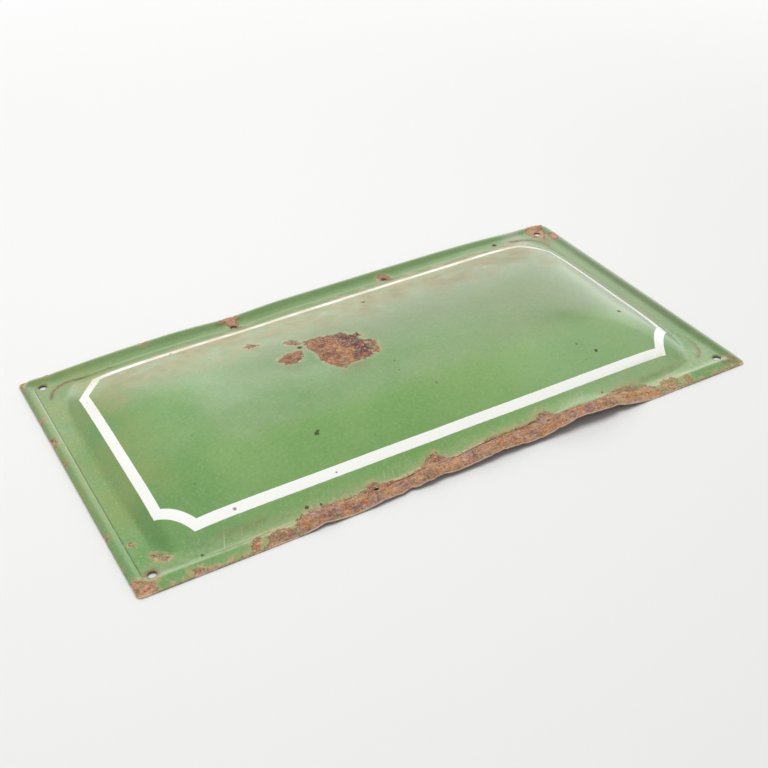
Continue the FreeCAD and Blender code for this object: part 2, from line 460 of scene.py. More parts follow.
def ripples(x, y, shortest, longest, seed):
    """Uneven ripples about 0: the sum of 48 sines over 7, about the root of 48. Their lengths
    lie between shortest and longest. Lengths, directions and phases are drawn by the seed."""
    draw = np.random.default_rng(seed)
    total = np.zeros_like(x)
    lengths = draw.uniform(shortest, longest, RIPPLE_SINES)
    turns = draw.uniform(0, 2 * np.pi, RIPPLE_SINES)
    phases = draw.uniform(0, 2 * np.pi, RIPPLE_SINES)
    for length, turn, phase in zip(lengths, turns, phases):
        total += np.sin(2 * np.pi * (x * np.cos(turn) + y * np.sin(turn)) / length + phase)
    return total / 7


def edge_inset(x, y):
    """How far a place lies in from the edge as the rim runs, which turns its corners in wide
    curves: the rim's radius less the distance from its corner's centre there, and the nearer
    side's distance elsewhere."""
    past_x = np.abs(x) - (HALF_LENGTH - RIM_CORNER_RADIUS)
    past_y = np.abs(y) - (HALF_HEIGHT - RIM_CORNER_RADIUS)
    round_part = np.hypot(np.maximum(past_x, 0), np.maximum(past_y, 0))
    return RIM_CORNER_RADIUS - round_part - np.minimum(np.maximum(past_x, past_y), 0)


def dome_height(x, y):
    """rise (1 - ((|x|/a)^pm + (|y|/b)^qm)^(1/m)), rounded where it meets the flange."""
    u = np.minimum(np.abs(x) / (HALF_LENGTH - FLANGE_ENDS), 1)
    v = np.minimum(np.abs(y) / (HALF_HEIGHT - FLANGE_SIDES), 1)
    reach = u ** (DOME_POWER_X * DOME_CORNER_POWER) + v ** (DOME_POWER_Y * DOME_CORNER_POWER)
    bare = DOME_RISE * (1 - reach ** (1 / DOME_CORNER_POWER))
    softness = DOME_SOFTNESS * np.clip(8 * np.minimum(1 - u, 1 - v), 0, 1)
    return np.where((u < 1) & (v < 1), (bare + np.hypot(bare, softness)) / 2, 0)


def rim_height(x, y):
    """The rim's height, from the section of the nearest side. Where two sides meet, theirs
    are blended by how much nearer one is."""
    inset = edge_inset(x, y)
    from_end = HALF_LENGTH - np.abs(x)
    at_end = smooth(-8, 8, HALF_HEIGHT - np.abs(y) - from_end)
    left = curve_through(RIM_LEFT, inset)
    far = curve_through(RIM_TOP_AND_RIGHT, inset)
    ends = np.where(x < 0, left, far)
    sides = np.where(y < 0, curve_through(RIM_BOTTOM, inset), far)
    return ends * at_end + sides * (1 - at_end)


def face_height(x, y):
    """The dome, the rim, the sprung top side less its dimple, the bent bottom edge and the
    sheet's slight unevenness, added up."""
    near_top = np.maximum(y - (HALF_HEIGHT - TOP_BOW_REACH), 0) / TOP_BOW_REACH
    between = np.maximum(1 - (np.abs(x) / TOP_BOW_HALF_LENGTH) ** 6, 0) ** 2
    spread = np.hypot(x - DIMPLE_X, y - DIMPLE_Y) / DIMPLE_RADIUS
    bow = TOP_BOW_RISE * near_top ** 3 * between - DIMPLE_DEPTH * np.exp(-spread ** 2 / 2)
    lift = curve_through(BOTTOM_LIFT, x)
    lift = lift * smooth(0, 1, (-HALF_HEIGHT + LIFT_FROM - y) / LIFT_OVER)
    uneven = UNEVENNESS * ripples(x, y, 60, 190, 3)
    return dome_height(x, y) + rim_height(x, y) + bow + lift + uneven


def stops_to_lines(stops, steps):
    """Grid lines that pass through every stop, evenly spaced between two, no wider than
    that stretch's step."""
    lines = [np.array([stops[0]])]
    for low, high, step in zip(stops[:-1], stops[1:], steps):
        count = math.ceil((high - low) / step)
        lines.append(np.linspace(low, high, count + 1)[1:])
    return np.concatenate(lines)


def fit_outline(x, y):
    """Draws the rectangular grid into the real outline. In a corner's square, with a and b
    from 0 to 1 across it, a becomes a sqrt(1 - b^2/2) and b becomes b sqrt(1 - a^2/2), so that
    its two outer sides become the quarter circle. The bottom rows move up by what is eaten."""
    inner_x = HALF_LENGTH - CORNER_RADIUS
    inner_y = HALF_HEIGHT - CORNER_RADIUS
    a = np.maximum(np.abs(x) - inner_x, 0) / CORNER_RADIUS
    b = np.maximum(np.abs(y) - inner_y, 0) / CORNER_RADIUS
    in_corner = (a > 0) & (b > 0)
    round_x = inner_x + CORNER_RADIUS * a * np.sqrt(1 - b * b / 2)
    round_y = inner_y + CORNER_RADIUS * b * np.sqrt(1 - a * a / 2)
    fit_x = np.where(in_corner, np.sign(x) * round_x, x)
    fit_y = np.where(in_corner, np.sign(y) * round_y, y)
    ragged = 0.3 * ripples(x, 0 * x, 4, 13, 8) * smooth(0, 1.2, curve_through(EATEN_EDGE, x))
    near_edge = np.clip((-HOLE_BLOCK_HIGH - y) / (HALF_HEIGHT - HOLE_BLOCK_HIGH), 0, 1)
    eaten = np.maximum(curve_through(EATEN_EDGE, x) + ragged, 0)
    return fit_x, fit_y + eaten * near_edge


def sheet_layout():
    """The flat layout: a grid whose cells around each hole give way to rings that change
    from the block's square to the circle, p(1-t) + c t. Returns places, four-cornered
    faces and the loops of the outline and of each hole."""
    stops_x = [-HALF_LENGTH, -HALF_LENGTH + CORNER_RADIUS, -CORNER_HOLE_X - HOLE_BLOCK,
               -SIDE_HOLE_X - HOLE_BLOCK, -SIDE_HOLE_X + HOLE_BLOCK]
    stops_x = stops_x + [-s for s in reversed(stops_x)]
    steps_x = [STEP_FLANGE, STEP_FLANGE, STEP_DOME, STEP_FLANGE, STEP_DOME]
    steps_x = steps_x + steps_x[-2::-1]
    stops_y = [-HALF_HEIGHT, -HALF_HEIGHT + CORNER_RADIUS, -HOLE_BLOCK_HIGH, -HOLE_BLOCK_LOW]
    stops_y = stops_y + [-s for s in reversed(stops_y)]
    steps_y = [STEP_FLANGE] * 3 + [STEP_DOME] + [STEP_FLANGE] * 3
    lines_x = stops_to_lines(stops_x, steps_x)
    lines_y = stops_to_lines(stops_y, steps_y)
    grid_x, grid_y = np.meshgrid(lines_x, lines_y, indexing="ij")
    places = [np.stack(fit_outline(grid_x, grid_y), -1).reshape(-1, 2)]
    number = np.arange(grid_x.size).reshape(grid_x.shape)
    keep = np.ones((len(lines_x) - 1, len(lines_y) - 1), dtype=bool)
    rings = []
    loops = []
    count = grid_x.size
    for hole_x, hole_y, radius in HOLES:
        sides_x = (hole_x - HOLE_BLOCK, hole_x + HOLE_BLOCK)
        sides_y = sorted(math.copysign(side, hole_y) for side in (HOLE_BLOCK_LOW, HOLE_BLOCK_HIGH))
        i0, i1 = (int(np.abs(lines_x - side).argmin()) for side in sides_x)
        j0, j1 = (int(np.abs(lines_y - side).argmin()) for side in sides_y)
        keep[i0:i1, j0:j1] = False
        square = np.concatenate([number[i0:i1, j0], number[i1, j0:j1],
                                 number[i1:i0:-1, j1], number[i0, j1:j0:-1]])
        start = places[0][square]
        angle = np.arctan2(start[:, 1] - hole_y, start[:, 0] - hole_x)
        circle = np.stack([hole_x + radius * np.cos(angle), hole_y + radius * np.sin(angle)], -1)
        before = square
        for t in RING_SHARES:
            ring = np.arange(count, count + len(square))
            count += len(square)
            places.append(start * (1 - t) + circle * t)
            rings.append(np.stack([before, np.roll(before, -1), np.roll(ring, -1), ring], -1))
            before = ring
        loops.append(before[::-1])
    cells = np.stack([number[:-1, :-1], number[1:, :-1], number[1:, 1:], number[:-1, 1:]], -1)[keep]
    outline = np.concatenate([number[:-1, 0], number[-1, :-1], number[:0:-1, -1], number[0, :0:-1]])
    return np.concatenate(places), np.concatenate([cells] + rings), [outline] + loops


def from_line(x, y, start, end):
    """Distance to the line between two points a and b: |p - a - t(b - a)|, where t is
    (p - a)(b - a) / |b - a|^2 held between 0 and 1."""
    (ax, ay), (bx, by) = start, end
    t = ((x - ax) * (bx - ax) + (y - ay) * (by - ay)) / ((bx - ax) ** 2 + (by - ay) ** 2)
    t = np.clip(t, 0, 1)
    return np.hypot(x - ax - t * (bx - ax), y - ay - t * (by - ay))


def patch_depth(x, y, outline):
    """Distance to an outline's nearest side, counted positive inside it: a place is inside
    where a line from it towards +x crosses an odd number of sides."""
    corners = np.array(outline, dtype=float)
    nearest = np.full(x.shape, np.inf)
    inside = np.zeros(x.shape, dtype=bool)
    for (ax, ay), (bx, by) in zip(corners, np.roll(corners, -1, axis=0)):
        nearest = np.minimum(nearest, from_line(x, y, (ax, ay), (bx, by)))
        if ay != by:
            crosses = (ay > y) != (by > y)
            inside ^= crosses & (x < ax + (y - ay) * (bx - ax) / (by - ay))
    return np.where(inside, nearest, -nearest)


def rust_depth(x, y):
    """How far inside rust a place lies, in millimetres: the deepest of all the patches, and
    of a thin line along the edge, below y = -140, that comes and goes."""
    depth = np.full(x.shape, -RUST_REACH)
    for outline in RUST_PATCHES:
        depth = np.maximum(depth, patch_depth(x, y, outline))
    edge_line = -0.9 * edge_inset(x, y) + 1.1 * ripples(x, y, 12, 60, 21) - 0.5
    edge_line = edge_line - 3 * smooth(-150, -140, y)
    return np.clip(np.maximum(depth, edge_line), -RUST_REACH, RUST_REACH)


def crease_dirt(x, y):
    """Dirt along each crease line, below each rusted hole and round the stained ones, from 0
    to 1: a line's and a ring's fall off as exp(-(d/w)^2), and a run's as exp(-(dx/w)^2)."""
    dirt = np.zeros_like(x)
    for points, half_width, strength in DIRT_LINES:
        for start, end in zip(points[:-1], points[1:]):
            away = from_line(x, y, start, end)
            dirt = np.maximum(dirt, strength * np.exp(-(away / half_width) ** 2))
    for from_x, from_y, length, half_width, strength in RUST_RUNS:
        down = (from_y - y) / length
        run = smooth(-0.15, 0.1, down) * (1 - smooth(0.2, 1.0, down))
        dirt = np.maximum(dirt, strength * run * np.exp(-((x - from_x) / half_width) ** 2))
    for hole_x, hole_y, width, strength in STAINED_HOLES:
        away = np.hypot(x - hole_x, y - hole_y) - STAIN_RING_RADIUS
        dirt = np.maximum(dirt, strength * np.exp(-(away / width) ** 2))
    return dirt


def dust_wash(x, y):
    """The pale dust film on the upper part of the dome, from 0 to 1."""
    rise = smooth(25, 88, y + 9 * ripples(x, y, 40, 130, 5))
    fall = 1 - smooth(133, 141, y)
    ends = 1 - smooth(232, 262, np.abs(x) + 5 * ripples(x, y, 30, 80, 6))
    return rise * fall * ends


def plate_mesh():
    """The dressed plate in metres: face (x, y, h) less rust pits and the holes' lips, which
    sink as exp(-(d/w)^2), back = (x, y, h) - thickness * normal, and walls that bulge outwards
    by sin(pi s) between them. Normals come from the height's slopes. Also tells which points
    lie on the cut edges."""
    places, cells, loops = sheet_layout()
    x, y = places.T
    step = 0.6
    slope_x = (face_height(x + step, y) - face_height(x - step, y)) / (2 * step)
    slope_y = (face_height(x, y + step) - face_height(x, y - step)) / (2 * step)
    normal = np.stack([-slope_x, -slope_y, np.ones_like(x)], -1)
    normal /= np.linalg.norm(normal, axis=1)[:, None]
    depth = rust_depth(x, y)
    pits = PIT_DEPTH + 0.22 * ripples(x, y, 3.5, 9, 11) + 0.2 * ripples(x, y, 9, 30, 12)
    pits = smooth(-0.5, 1.5, depth) * pits
    lips = np.zeros_like(x)
    for hole_x, hole_y, radius in HOLES:
        from_wall = np.hypot(x - hole_x, y - hole_y) - radius
        lips = np.maximum(lips, LIP_DEPTH * np.exp(-(from_wall / LIP_WIDTH) ** 2))
    core = np.stack([x, y, face_height(x, y)], -1)
    face = core - normal * (np.maximum(pits, -0.15) + lips)[:, None]
    back = core - normal * THICKNESS
    count = len(x)
    points = [face, back]
    faces = [cells, cells[:, ::-1] + count]
    total = 2 * count
    for loop in loops:
        ahead = np.roll(loop, -1)
        tangent = core[ahead] - core[np.roll(loop, 1)]
        outwards = np.stack([tangent[:, 1], -tangent[:, 0], 0 * tangent[:, 0]], -1)
        outwards /= np.linalg.norm(outwards, axis=1)[:, None]
        before = loop
        for s in (0.2, 0.5, 0.8):
            ring = np.arange(total, total + len(loop))
            total += len(loop)
            bulge = WALL_BULGE * math.sin(math.pi * s) * outwards
            points.append(face[loop] * (1 - s) + back[loop] * s + bulge)
            faces.append(np.stack([np.roll(before, -1), before, ring, np.roll(ring, -1)], -1))
            before = ring
        faces.append(np.stack([np.roll(before, -1), before, loop + count, ahead + count], -1))
    points = np.concatenate(points)
    points[:, 2] += FLANGE_HEIGHT
    at_edge = np.arange(len(points)) >= 2 * count
    at_edge[loops[0]] = True
    return points / MM_PER_METRE, faces, at_edge


def show_mesh(name, points, faces, materials, numbers):
    """Puts points, faces and the numbers that the materials read into a smooth mesh. The back,
    which is the second part of the faces, gets the second material."""
    mesh = bpy.data.meshes.new(name)
    mesh.from_pydata(points.tolist(), [], np.concatenate(faces).tolist())
    mesh.polygons.foreach_set("use_smooth", np.ones(len(mesh.polygons), dtype=bool))
    for material in materials:
        mesh.materials.append(material)
    index = np.concatenate([np.full(len(part), 1 if i == 1 else 0) for i, part in enumerate(faces)])
    mesh.polygons.foreach_set("material_index", index)
    for label, values in numbers.items():
        mesh.attributes.new(label, "FLOAT", "POINT").data.foreach_set("value", values)
    mesh.update()
    piece = bpy.data.objects.new(name, mesh)
    bpy.context.scene.collection.objects.link(piece)
    return piece


def colour(code):
    """Linear red, green, blue and 1 from an sRGB hex code: each part c is c/12.92 up to
    0.04045, and ((c + 0.055)/1.055)^2.4 above it."""
    parts = [int(code[i:i + 2], 16) / 255 for i in (1, 3, 5)]
    return [c / 12.92 if c <= 0.04045 else ((c + 0.055) / 1.055) ** 2.4 for c in parts] + [1.0]


def node(tree, kind, *fills, named=None, stops=(), **settings):
    """Adds a node: its settings, what fills its sockets, in their order or by name, and a
    ramp's stops. A fill is a node, an output, a number, a row of numbers or a hex colour."""
    kind, own_settings = SHORT_KINDS.get(kind, (kind, {}))
    made = tree.nodes.new("ShaderNode" + kind)
    for key, value in {**own_settings, **settings}.items():
        setattr(made, key, value)
    filled = list(zip([socket for socket in made.inputs if socket.enabled], fills))
    filled += [(made.inputs[key], value) for key, value in (named or {}).items()]
    for socket, value in filled:
        if isinstance(value, bpy.types.Node):
            value = [output for output in value.outputs if output.enabled][0]
        if isinstance(value, bpy.types.NodeSocket):
            tree.links.new(value, socket)
        else:
            socket.default_value = colour(value) if isinstance(value, str) else value
    if stops:
        band = made.color_ramp.elements
        while len(band) < len(stops):
            band.new(0.5)
        for element, (place, code) in zip(band, stops):
            element.position = place
            element.color = colour(code)
    return made


def empty_material(name):
    """A new material without nodes."""
    material = bpy.data.materials.new(name)
    material.use_nodes = True
    material.node_tree.nodes.clear()
    return material


def enamel_on_steel():
    """Vitreous enamel, glass fired onto sheet steel: a hard gloss over one deep colour, a white
    line fired in after it, dull crusted rust where it has chipped off, and road dust."""
    material = empty_material("vitreous_enamel_on_steel")
    put = partial(node, material.node_tree)

    # Object coordinates in millimetres, and what the mesh tells about each place
    place = put("scaled", put("TexCoord").outputs["Object"], MM_PER_METRE)
    shifted = put("moved", place, GRAIN_SHIFT)
    parts = put("SeparateXYZ", place)
    x, y = parts.outputs["X"], parts.outputs["Y"]
    abs_x = put("absolute", x)
    abs_y = put("absolute", y)
    depth, dirt, dust, inset, above, edge = (
        put("Attribute", attribute_name=name).outputs["Fac"]
        for name in ("rust_depth", "crease_dirt", "dust_wash", "edge_inset", "above_crease",
                     "cut_edge"))
    grain = {}
    for start, grains in ((place, GRAINS), (shifted, SHIFTED_GRAINS)):
        for name, (width, detail, roughness) in grains.items():
            grain[name] = put("noise", start, 1 / width, detail, roughness)
    blotch = grain["dust_blotch"]
    low_side = put("between", y, -118.0, -134.0)

    # The green glaze, a little yellower and darker in broad patches, and finely speckled,
    # with its upper right part browner and darker
    green = put("ramp", grain["clouds"],
                stops=[(0.3, "#61904a"), (0.5, "#689351"), (0.7, "#749a59")])
    upper_right = put("between", put("times_plus", x, 0.35, y), -70.0, 50.0)
    for where, strength, tint in (
        (put("between", grain["mottle"], 0.45, 0.75), 0.6, "#71975a"),
        (put("between", grain["speckle"], 0.5, 0.66), 0.35, "#88a573"),
        (put("between", grain["speckle"], 0.46, 0.34), 0.3, "#4f7a3a"),
        (upper_right, 0.22, "#6f5f48"),
    ):
        green = put("mix", put("times", where, strength), green, tint)

    # Road dust on the upper part, blotchy, a strip of yellower grime above it, a thin film
    # towards the left end, and a pale grey painted sheen on the slope at the right end
    film = put("times", dust, put("between", blotch, 0.2, 0.62), use_clamp=True)
    film_tint = put("ramp", grain["dust_tint"], stops=[(0.4, "#949070"), (0.6, "#ab9a7a")])
    grime = put("times", put("between", y, 119.0, 128.0), put("between", y, 146.0, 139.0))
    grime = put("times", grime, put("between", abs_x, 262.0, 240.0))
    grime_tint = put("ramp", put("times_plus", x, 0.0005, grain["grime_tint"]),
                     stops=[(0.41, "#67874f"), (0.52, "#7e885f"), (0.64, "#a59a7a")])
    left = put("times", put("between", x, -205.0, -262.0), put("between", y, -118.0, -60.0))
    # Painted sheen: a pale grey reflection on the slope at the right end
    painted_sheen_right = put("times", put("between", x, 226.0, 252.0), put("between", x, 268.0, 258.0))
    painted_sheen_right = put("times", painted_sheen_right, put("between", y, -100.0, -50.0))
    for where, strength, tint in (
        (film, 0.8, film_tint),
        (grime, 0.9, grime_tint),
        (left, put("times", put("between", blotch, 0.3, 0.6), 0.5), "#86924a"),
        (painted_sheen_right, 0.42, "#b0b0a0"),
    ):
        green = put("mix", put("times", where, strength), green, tint)

    # A painted sheen across the middle, painted shade in deeper green down the left foot of the
    # dome, a darker brown tint above the middle and a pale green painted sheen low down
    # Painted sheen across the middle, blotchy
    painted_sheen_middle = put("times_plus", put("smaller", x, 0.0), 0.39, y)
    painted_sheen_middle = put("times", put("between", y, -78.0, -48.0), put("between", painted_sheen_middle, -13.0, -43.0))
    painted_sheen_middle_ends = put("times", put("between", x, -195.0, -160.0), put("between", x, 185.0, 150.0))
    painted_sheen_middle = put("times", painted_sheen_middle, painted_sheen_middle_ends)
    # Painted shade: a deeper green down the left foot of the dome
    painted_shade_foot = put("times", put("between", x, -275.0, -270.0), put("between", x, -252.0, -262.0))
    painted_shade_foot = put("times", painted_shade_foot, put("between", y, -138.0, -128.0))
    # Browner and darker above the middle, reaching lower towards the right
    brown = put("times_plus", put("larger", put("minus", x, 60.0), 0.0), 0.36, y)
    brown = put("between", brown, -34.0, 38.0)
    brown = put("times", brown, put("between", put("times_plus", x, -0.2, y), 96.0, 44.0))
    brown_ends = put("times", put("between", x, -170.0, -90.0), put("between", x, 246.0, 206.0))
    brown = put("times", brown, brown_ends)
    # Painted sheen, pale green, low down and stronger towards the right
    to_right = put("between", x, 0.0, 150.0)
    painted_sheen_low = put("times", put("between", x, -225.0, -185.0), put("between", x, 250.0, 224.0))
    painted_sheen_low = put("times", painted_sheen_low, put("times_plus", to_right, 0.68, 0.32))
    painted_sheen_low = put("times", painted_sheen_low, put("between", y, -42.0, -74.0))
    for where, strength, tint in (
        (painted_sheen_middle, put("times_plus", put("between", blotch, 0.25, 0.6), 0.07, 0.1), "#bbb9aa"),
        (painted_shade_foot, put("times_plus", put("between", y, -50.0, -85.0), 0.3, 0.1), "#3c6b26"),
        (brown, 0.22, "#5a4630"),
        (painted_sheen_low, 0.2, put("mix", to_right, "#bfdb6c", "#b4d2a0")),
    ):
        green = put("mix", put("times", where, strength), green, tint)

    # The white frame line: inside the outer shape and outside the inner one, each a rectangle
    # with its corners cut by circles that are centred beyond them
    at_top = put("between", y, 0.0, 100.0)
    line_x = put("times", put("between", x, 0.0, 200.0), FRAME_FURTHER_RIGHT)
    line_x = put("minus", abs_x, line_x)
    line_y = put("times", at_top, put("times_plus", x, -0.006, FRAME_LOWER_TOP))
    line_y = put("plus", abs_y, line_y)
    far_x = put("minus", abs_x, FRAME_HALF_X + NOTCH_BEYOND_X)
    far_y = put("minus", abs_y, FRAME_HALF_Y + NOTCH_BEYOND_Y)
    from_centre = put("plus", put("times", far_x, far_x), put("times", far_y, far_y))
    from_centre = put("root", from_centre)
    outer = put("larger", put("minus", line_x, FRAME_HALF_X), put("minus", line_y, FRAME_HALF_Y))
    outer = put("larger", outer, put("minus", NOTCH_RADIUS, from_centre))
    inner_y = put("times_plus", at_top, -FRAME_NARROWER_TOP, line_y)
    inner_y = put("minus", inner_y, FRAME_HALF_Y - FRAME_WIDTH_Y)
    inner = put("larger", put("minus", line_x, FRAME_HALF_X - FRAME_WIDTH_X), inner_y)
    inner = put("larger", inner, put("minus", NOTCH_RADIUS + NOTCH_WIDTH, from_centre))
    wander = put("times", put("minus", grain["line_wander"], 0.5), 0.5)
    line = put("smaller", put("minus", wander, outer), put("plus", wander, inner))
    line = put("between", line, -0.2, 0.3)
    white = put("mix", put("times", film, 0.85), "#f2f2ed", "#c6bfa3")
    face = put("mix", line, green, white)

    # Grime and rust stain: a halo round the rust, flecks on the lower side and the left end,
    # and dirt in the creases and below the holes
    stain = put("times", dirt, put("plus", 0.55, grain["stain"]), use_clamp=True)
    stain_tint = put("ramp", grain["stain_tint"], stops=[(0.32, "#43391f"), (0.48, "#6e5836"),
                                                         (0.6, "#835834"), (0.75, "#94845a")])
    spread = put("times_plus", low_side, 20.0, 9.0)
    spread = put("times", put("minus", grain["halo_edge"], 0.42), spread)
    halo = put("between", put("plus", depth, spread), -5.0, 2.5)
    halo_tint = put("times_plus", put("between", x, -60.0, -110.0), 0.07, grain["halo_tint"])
    halo_tint = put("ramp", halo_tint, stops=[(0.35, "#86965f"), (0.45, "#a3a06e"),
                                              (0.56, "#ae8c62"), (0.66, "#b9a57e")])
    flecks = put("larger", low_side, put("between", x, -262.0, -275.0))
    flecks = put("times", put("between", grain["flecks"], 0.56, 0.66), flecks)
    for where, strength, tint in (
        (halo, 0.8, halo_tint),
        (flecks, 0.4, "#b3b48c"),
        (stain, 1.0, stain_tint),
    ):
        face = put("mix", put("times", where, strength), face, tint)

    # A fine dark crack where the left rim starts, with a painted highlight on the lip beside
    # it, and a pale worn line along the bottom rim, each round one distance from the edge
    broken = put("between", grain["crack_breaks"], 0.3, 0.42)
    broken = put("times", put("between", abs_y, 149.0, 142.0), broken)
    broken = put("times", put("between", x, -280.0, -285.0), broken)
    crack, painted_glint_lip, worn, painted_shade_hollow = (
        put("minus", 1.0, put("between", put("absolute", put("minus", inset, at)), near, far))
        for at, near, far in (
            (10.6, 0.15, 0.65), (9.4, 0.3, 1.2), (12.4, 0.5, 2.6), (9.0, 1.5, 6.5)))
    crack = put("times", crack, broken)
    painted_glint_lip = put("times", painted_glint_lip, broken)
    worn = put("times", worn, put("between", y, -146.0, -149.0))
    worn = put("times", worn, put("between", grain["worn_breaks"], 0.36, 0.5))

    # Painted shade in the rim's hollow at the top and on the right and along its outside at
    # both ends, and pale dust on the lower flange
    # Painted shade in the rim's hollow, on the right, weaker along the top
    at_top_side = put("times", put("between", y, 140.0, 146.0), 0.4)
    painted_shade_hollow = put("times", painted_shade_hollow, put("larger", put("between", x, 276.0, 282.0), at_top_side))
    # Painted shade along the rim's outside at both ends
    roll = put("larger", put("between", x, -284.0, -290.0), put("between", x, 286.0, 292.0))
    roll = put("times", roll, put("between", inset, 8.0, 5.0))
    pale = put("times_plus", put("larger", x, 0.0), -0.06, y)
    pale = put("times", put("between", pale, -131.0, -143.0), put("between", inset, 10.0, 14.0))
    pale = put("times", pale, put("between", grain["flange_dust"], 0.3, 0.6))

    # The bottom side's fold: a tan strip along it, and a dark line in it
    along = put("times", put("between", x, -84.0, -66.0), put("between", x, 100.0, 76.0))
    strip = put("plus", 0.35, put("between", grain["strip_breaks"], 0.4, 0.55))
    near_fold = put("times", put("between", above, 5.0, 2.5), along)
    strip = put("times", near_fold, strip, use_clamp=True)
    fold = put("between", put("absolute", put("plus", above, wander)), 0.3, 0.9)
    fold = put("times", put("minus", 1.0, fold), along)
    fold_breaks = put("between", grain["fold_breaks"], 0.4, 0.55)
    fold = put("times", fold, put("times_plus", fold_breaks, 0.6, 0.3))

    # Pale scuffs that run down the lower side at a slant
    slanted = put("CombineXYZ", put("times", put("times_plus", y, -0.4, x), 1 / SCUFF_WIDTH),
                  put("times", y, 1 / SCUFF_LENGTH))
    scuff = put("between", put("noise", slanted, 1.0, 2.0, 0.5), 0.66, 0.7)
    scuff = put("times", scuff, put("between", grain["scuff_breaks"], 0.45, 0.55))
    scuff = put("times", scuff, put("times", low_side, put("between", y, -150.0, -144.0)))
    for where, strength, tint in (
        # Painted highlight on the lip beside the crack, stronger towards the top
        (painted_glint_lip, put("times_plus", put("between", y, -60.0, 60.0), 0.2, 0.08), "#c3cfae"),
        (crack, 0.65, "#2f3a26"),
        (worn, 0.35, "#b3b793"),
        (painted_shade_hollow, 0.45, "#4f5136"),
        (roll, 0.24, "#4d5c36"),
        (pale, 0.34, "#a4a983"),
        (strip, 0.8, "#a89a68"),
        (fold, 0.8, "#5a4028"),
        (scuff, 0.5, "#c3cfa6"),
    ):
        face = put("mix", put("times", where, strength), face, tint)

    # Where rust is: the patches' depth, made ragged by two grains, and specks in some of the
    # cells that the face is divided into, with a dark line round it
    ragged = put("times", put("minus", grain["rust_edge_fine"], 0.5), 14.0)
    ragged = put("plus", put("times", put("minus", grain["rust_edge"], 0.5), 10.0), ragged)
    cells = put("TexVoronoi", place, 1 / SPECK_SPACING)
    speck = put("between", put("SeparateColor", cells.outputs["Color"]), 0.88, 1.0)
    speck = put("minus", speck, put("times", cells.outputs["Distance"], 14.0))
    bite = put("larger", put("plus", depth, ragged), put("times", speck, 1.2))
    rusted = put("between", bite, -0.25, 0.25)
    rim_of_rust = put("times", put("between", bite, -1.1, -0.2), put("minus", 1.0, rusted))
    rim_of_rust = put("times", rim_of_rust, put("times_plus", low_side, -0.3, 0.5))
    face = put("mix", rim_of_rust, face, "#5a4a34")

    # Its colours: browns by the crust, darker in the middle patch, pinker and paler elsewhere,
    # with streaks along the lower side, orange, grey and green spots, and light and dark flakes
    crust = grain["crust"]
    flakes = grain["flakes"]
    rust = put("ramp", crust, stops=[(0.34, "#6b493e"), (0.43, "#88604f"), (0.52, "#a47b63"),
                                     (0.6, "#b8927a"), (0.7, "#d3b596")])
    middle = put("between", abs_y, 120.0, 90.0)
    dark_x = put("power", put("plus", x, 19.0), 2.0)
    dark_y = put("power", put("times_plus", y, 0.45, -5.0), 2.0)
    dark = put("between", put("root", put("plus", dark_x, dark_y)), 19.0, 7.0)
    dark = put("times", dark, put("between", grain["dark_breaks"], 0.36, 0.5))
    pink = put("times", put("between", grain["pink_rust"], 0.47, 0.6), low_side)
    drawn = put("CombineXYZ", put("times", x, 1 / STREAK_LENGTH), put("times", y, 1 / STREAK_WIDTH))
    streak = put("noise", drawn, 1.0, 5.0, 0.6)
    spots = put("times", put("between", grain["green_spots"], 0.5, 0.6), low_side)
    for where, strength, tint in (
        (middle, 0.22, "#7d5a4b"),
        (put("times", dark, middle), 0.85, "#59444a"),
        (put("minus", 1.0, middle), 0.5, put("mix", pink, "#b28a68", "#9d8284")),
        (put("times", put("between", x, 110.0, 200.0), low_side), 0.4, "#cdaa82"),
        (put("between", y, 110.0, 130.0), 0.3, "#b99a88"),
        (put("between", abs_x, 266.0, 282.0), 0.32, "#e2b690"),
        (put("between", grain["coarse_rust"], 0.47, 0.36), 0.5, "#6b4639"),
        (put("between", grain["coarse_rust"], 0.55, 0.66), 0.5, "#cf9c6c"),
        (put("times", put("between", streak, 0.52, 0.62), low_side), 0.4, "#d9b391"),
        (put("times", put("between", streak, 0.47, 0.38), low_side), 0.38, "#8a5d4a"),
        (put("times", spots, put("between", x, 125.0, 175.0)), 0.6, "#98a36b"),
        (put("between", grain["orange_rust"], 0.555, 0.64), put("times_plus", middle, -0.2, 0.62),
         "#c97640"),
        (put("between", grain["grey_rust"], 0.46, 0.36), 0.55, "#8a8468"),
        (put("between", flakes, 0.56, 0.64), 0.75, "#e2c09a"),
        (put("between", flakes, 0.45, 0.37), 0.78, "#4d322a"),
        (fold, 0.8, "#4a3324"),
        # Pale cut edges: bare steel, partly a painted highlight along the edge
        (put("between", edge, 0.2, 0.8), 0.6, "#dccbb6"),
    ):
        rust = put("mix", put("times", where, strength), rust, tint)
    face = put("mix", rusted, face, rust)

    # Small dark chips down to the ground coat
    flat = put("CombineXYZ", x, y)
    chips = -100.0
    for chip_x, chip_y, radius in CHIPS:
        chips = put("larger", chips, put("minus", radius, put("apart", flat, (chip_x, chip_y, 0))))
    chips = put("plus", chips, put("times", put("minus", grain["chip_edge"], 0.5), 4.0))
    chips = put("between", chips, -0.3, 0.5)
    face = put("mix", put("times", chips, 0.85), face, "#504936")

    # Gloss: clean glaze is smooth, dust is duller and rust has none
    bare = put("larger", rusted, chips)
    glazed = put("minus", 1.0, bare)
    gloss = put("plus", 0.16, put("times", put("larger", film, grime), 0.3))
    gloss = put("plus", gloss, put("times", grain["gloss"], 0.08))
    gloss = put("plus", gloss, put("times", stain, 0.35))
    gloss = put("plus", put("times", gloss, glazed), put("times", bare, 0.86), use_clamp=True)

    # Dust and rust scatter light before it can mirror anything
    dull = put("larger", put("larger", put("times", film, 0.6), put("times", grime, 0.9)), bare)
    shine = put("times_plus", dull, -0.4, 0.5)

